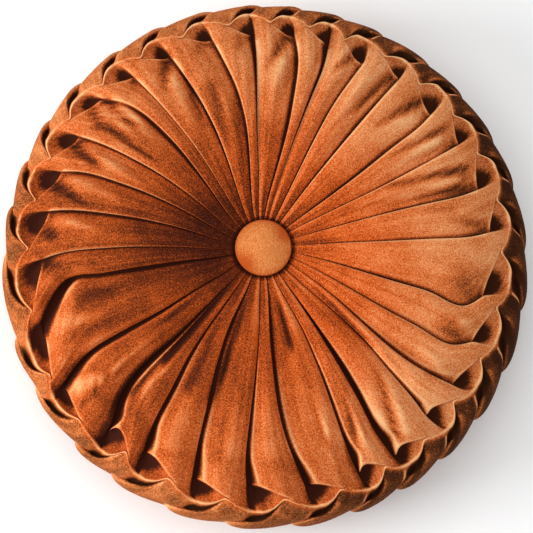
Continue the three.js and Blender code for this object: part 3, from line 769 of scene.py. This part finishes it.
def covered_button(name, middle, sign, size):
    """Cloth drawn over a button form: it narrows to its foot, and its rim is rounded under a low dome."""
    radius = size.diameter / 2
    bpy.ops.object.select_all(action="DESELECT")
    bpy.ops.mesh.primitive_circle_add(vertices=64, radius=radius * BUTTON_FOOT, fill_type="NGON", location=middle)
    button = bpy.context.object
    button.name = button.data.name = name
    bpy.ops.object.mode_set(mode="EDIT")
    bpy.ops.mesh.select_all(action="SELECT")
    width, level = BUTTON_FOOT, 0.0
    for new_width, new_level in BUTTON_SIDE:
        bpy.ops.mesh.extrude_region_move(
            TRANSFORM_OT_translate={"value": (0, 0, sign * (new_level - level) * size.edge)})
        bpy.ops.transform.resize(value=(new_width / width, new_width / width, 1), center_override=middle)
        width, level = new_width, new_level
    rise = size.height - level * size.edge
    for outer, inner in zip(BUTTON_DOME, BUTTON_DOME[1:]):
        up = (outer ** 2 - inner ** 2) / BUTTON_DOME[0] ** 2 * rise
        bpy.ops.mesh.inset(thickness=(outer - inner) * radius, depth=0)
        bpy.ops.transform.translate(value=(0, 0, sign * up))
    bpy.ops.object.mode_set(mode="OBJECT")
    bpy.ops.object.transform_apply(location=True, rotation=True, scale=True)
    if sign < 0:
        bpy.ops.object.mode_set(mode="EDIT")
        bpy.ops.mesh.select_all(action="SELECT")
        bpy.ops.mesh.normals_make_consistent(inside=False)
        bpy.ops.object.mode_set(mode="OBJECT")
    rounding = button.modifiers.new("rounding", "SUBSURF")
    rounding.levels = rounding.render_levels = 2
    bpy.ops.object.modifier_apply(modifier=rounding.name)
    button.data.shade_smooth()
    return button


class PillowCover(bpy.types.PropertyGroup):
    body_colour: bpy.props.FloatVectorProperty(
        name="Velvet", description="Colour of the velvet where it lies flat to the light", subtype="COLOR", size=4,
        min=0, max=1, default=linear("c4531a"))
    # The fold colour is the painted shade down in the folds.
    deep_colour: bpy.props.FloatVectorProperty(
        name="Folds", description="Colour of the velvet down in its folds", subtype="COLOR", size=4, min=0, max=1,
        default=linear("3a170f"))
    # The crest colour is the painted highlight along the crests of the folds.
    pale_colour: bpy.props.FloatVectorProperty(
        name="Crests", description="Colour of the pile's tips along the crest of a fold", subtype="COLOR", size=4,
        min=0, max=1, default=linear("e4a068"))
    fill: bpy.props.FloatProperty(
        name="Fill", description="How tightly the pillow is stuffed, from slack to tight", subtype="FACTOR", min=0,
        max=1, default=0.7)


class PillowButton(bpy.types.PropertyGroup):
    diameter: bpy.props.FloatProperty(
        name="Diameter", description="Width of a covered button", unit="LENGTH", min=0.02, max=0.08,
        default=2 * BUTTON_RADIUS / 1000)
    edge: bpy.props.FloatProperty(
        name="Edge", description="Height of a button's edge above its seat", unit="LENGTH", min=0.002, max=0.02,
        default=0.007)
    height: bpy.props.FloatProperty(
        name="Height", description="Height of a button's dome above its seat", unit="LENGTH", min=0.004, max=0.03,
        default=0.013)
    colour: bpy.props.FloatVectorProperty(
        name="Velvet", description="Colour of the velvet stretched over a button", subtype="COLOR", size=4, min=0,
        max=1, default=linear("d98a4c"))


class PillowStage(bpy.types.PropertyGroup):
    floor_size: bpy.props.FloatProperty(
        name="Floor", description="Width of the floor", unit="LENGTH", min=1, max=20, default=8.0)
    floor_colour: bpy.props.FloatVectorProperty(
        name="Floor colour", description="Colour of the floor", subtype="COLOR", size=4, min=0, max=1,
        default=linear("f6f6f6"))
    key_power: bpy.props.FloatProperty(
        name="Window", description="Power of the low light from the left", unit="POWER", min=0, max=500, default=41)
    fill_power: bpy.props.FloatProperty(
        name="Ceiling", description="Power of the soft light from above", unit="POWER", min=0, max=500, default=30)
    sky: bpy.props.FloatProperty(
        name="Room", description="Strength of the even light from all round", min=0, max=2, default=0.59)


class PILLOW_OT_cover(bpy.types.Operator):
    """Builds the pleated cover, with its smocked rim, in place of its solid"""
    bl_idname = "pillow.cover"
    bl_label = "Pleated cover"

    def execute(self, context):
        settings = context.scene.pillow_cover
        points, faces, cloth, values = cover_cage()
        mesh = bpy.data.meshes.new("velvet_cover")
        mesh.from_pydata((points / 1000).tolist(), [], faces.tolist())
        mesh.uv_layers.new(name="cloth").data.foreach_set("uv", cloth.reshape(-1).astype(np.float32))
        set_tones(mesh, **values)
        cover = bpy.data.objects.new("velvet_cover", mesh)
        context.scene.collection.objects.link(cover)
        only(cover)
        rounding = cover.modifiers.new("rounding", "SUBSURF")
        rounding.levels = rounding.render_levels = 1
        bpy.ops.object.modifier_apply(modifier=rounding.name)
        close_middles(cover.data)
        cover.data.shade_smooth()
        set_cover_tones(cover.data, values)
        finished(cover, "root", velvet(
            "velvet_pleated", settings.deep_colour, settings.body_colour, settings.pale_colour))
        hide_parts("pleated_cover")
        return {"FINISHED"}


class PILLOW_OT_buttons(bpy.types.Operator):
    """Builds the two covered buttons, one in the middle of each face"""
    bl_idname = "pillow.buttons"
    bl_label = "Covered buttons"

    def execute(self, context):
        size = context.scene.pillow_button
        material = velvet("velvet_stretched", linear(BUTTON_DEEP), size.colour, linear(BUTTON_PALE))
        for node, sign in (("front_button", 1), ("back_button", -1)):
            low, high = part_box(node)
            middle = ((low[0] + high[0]) / 2, (low[1] + high[1]) / 2, low[2] if sign > 0 else high[2])
            button = covered_button("velvet_" + node, middle, sign, size)
            set_button_tones(button.data, middle, size.diameter / 2)
            finished(button, "root", material)
            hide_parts(node)
        return {"FINISHED"}


class PILLOW_OT_stage(bpy.types.Operator):
    """Builds the pale floor, the soft light and the camera"""
    bl_idname = "pillow.stage"
    bl_label = "Floor, light and camera"

    def execute(self, context):
        scene = context.scene
        size = scene.pillow_stage
        bpy.ops.object.select_all(action="DESELECT")
        # The floor lies half a millimetre low, so that it never shares a plane with the pillow's back.
        bpy.ops.mesh.primitive_plane_add(size=size.floor_size, location=(0, 0, -0.0005))
        floor = context.object
        floor.name = "floor"
        bpy.ops.object.transform_apply(location=True, rotation=True, scale=True)
        material, tree, output = new_material("painted_board")
        # Matt emulsion paint on board: an even, faintly mottled pale grey.
        where = add_node(tree, "ShaderNodeTexCoord").outputs["Object"]
        mottle = add_node(tree, "ShaderNodeTexNoise", {"Vector": where, "Scale": 5.0, "Detail": 3.0})
        tone = add_node(tree, "ShaderNodeMix", {0: mottle.outputs["Fac"], 6: size.floor_colour, 7: linear("fafafa")},
                        data_type="RGBA")
        shader = add_node(tree, "ShaderNodeBsdfPrincipled", {"Base Color": tone.outputs[2], "Roughness": 0.9,
                                                             "Specular IOR Level": 0.2})
        tree.links.new(shader.outputs["BSDF"], output.inputs["Surface"])
        floor.data.materials.append(material)

        for name, power, width, spot in (
                ("window_light", size.key_power, 1.1, (-1.9, -0.3, 0.78)),
                ("ceiling_light", size.fill_power, 2.6, (-0.2, 0.3, 2.6))):
            light = bpy.data.lights.new(name, "AREA")
            light.energy, light.size = power, width
            lamp = bpy.data.objects.new(name, light)
            scene.collection.objects.link(lamp)
            lamp.location = spot
            lamp.rotation_euler = (Vector(spot) - Vector((0, 0, 0.05))).to_track_quat("Z", "Y").to_euler()
        world = bpy.data.worlds.new("room")
        world.use_nodes = True
        world.node_tree.nodes["Background"].inputs["Color"].default_value = linear("ffffff")
        world.node_tree.nodes["Background"].inputs["Strength"].default_value = size.sky
        scene.world = world
        scene.view_settings.view_transform = "Standard"

        # The photograph was taken from almost straight above: 7 degrees towards its bottom edge, and from far off.
        tilt_right, tilt_up = math.radians(-1.8), math.radians(-6.5)
        away = Vector((math.tan(tilt_right), math.tan(tilt_up), 1)).normalized()
        across = Vector((0, 1, 0)).cross(away).normalized()
        camera = bpy.data.objects.new("camera", bpy.data.cameras.new("camera"))
        scene.collection.objects.link(camera)
        distance, frame_width = 2.2, 0.3873
        camera.data.sensor_width = 36
        camera.data.lens = camera.data.sensor_width * distance / frame_width
        turn = Matrix((across, away.cross(across), away)).transposed().to_4x4()
        camera.matrix_world = Matrix.Translation(Vector((0.0007, -0.0004, 0.048)) + away * distance) @ turn
        scene.camera = camera
        return {"FINISHED"}


class PILLOW_PT_parts(bpy.types.Panel):
    bl_idname = "PILLOW_PT_parts"
    bl_label = "Round velvet pillow"
    bl_space_type = "VIEW_3D"
    bl_region_type = "UI"
    bl_category = "Pillow"

    def draw(self, context):
        for name, group in (("cover", "pillow_cover"), ("buttons", "pillow_button"), ("stage", "pillow_stage")):
            box = self.layout.box()
            box.operator("pillow." + name)
            settings = getattr(context.scene, group)
            for field in settings.bl_rna.properties:
                if field.identifier in settings.__annotations__:
                    box.prop(settings, field.identifier)


GROUPS = {"pillow_cover": PillowCover, "pillow_button": PillowButton, "pillow_stage": PillowStage}
CLASSES = (*GROUPS.values(), PILLOW_OT_cover, PILLOW_OT_buttons, PILLOW_OT_stage, PILLOW_PT_parts)


def register():
    for kind in CLASSES:
        bpy.utils.register_class(kind)
    for name, kind in GROUPS.items():
        setattr(bpy.types.Scene, name, bpy.props.PointerProperty(type=kind))


def unregister():
    for name in GROUPS:
        delattr(bpy.types.Scene, name)
    for kind in reversed(CLASSES):
        bpy.utils.unregister_class(kind)


def main():
    register()
    bpy.ops.pillow.cover()
    bpy.ops.pillow.buttons()
    bpy.ops.pillow.stage()


if __name__ == "__main__":
    main()
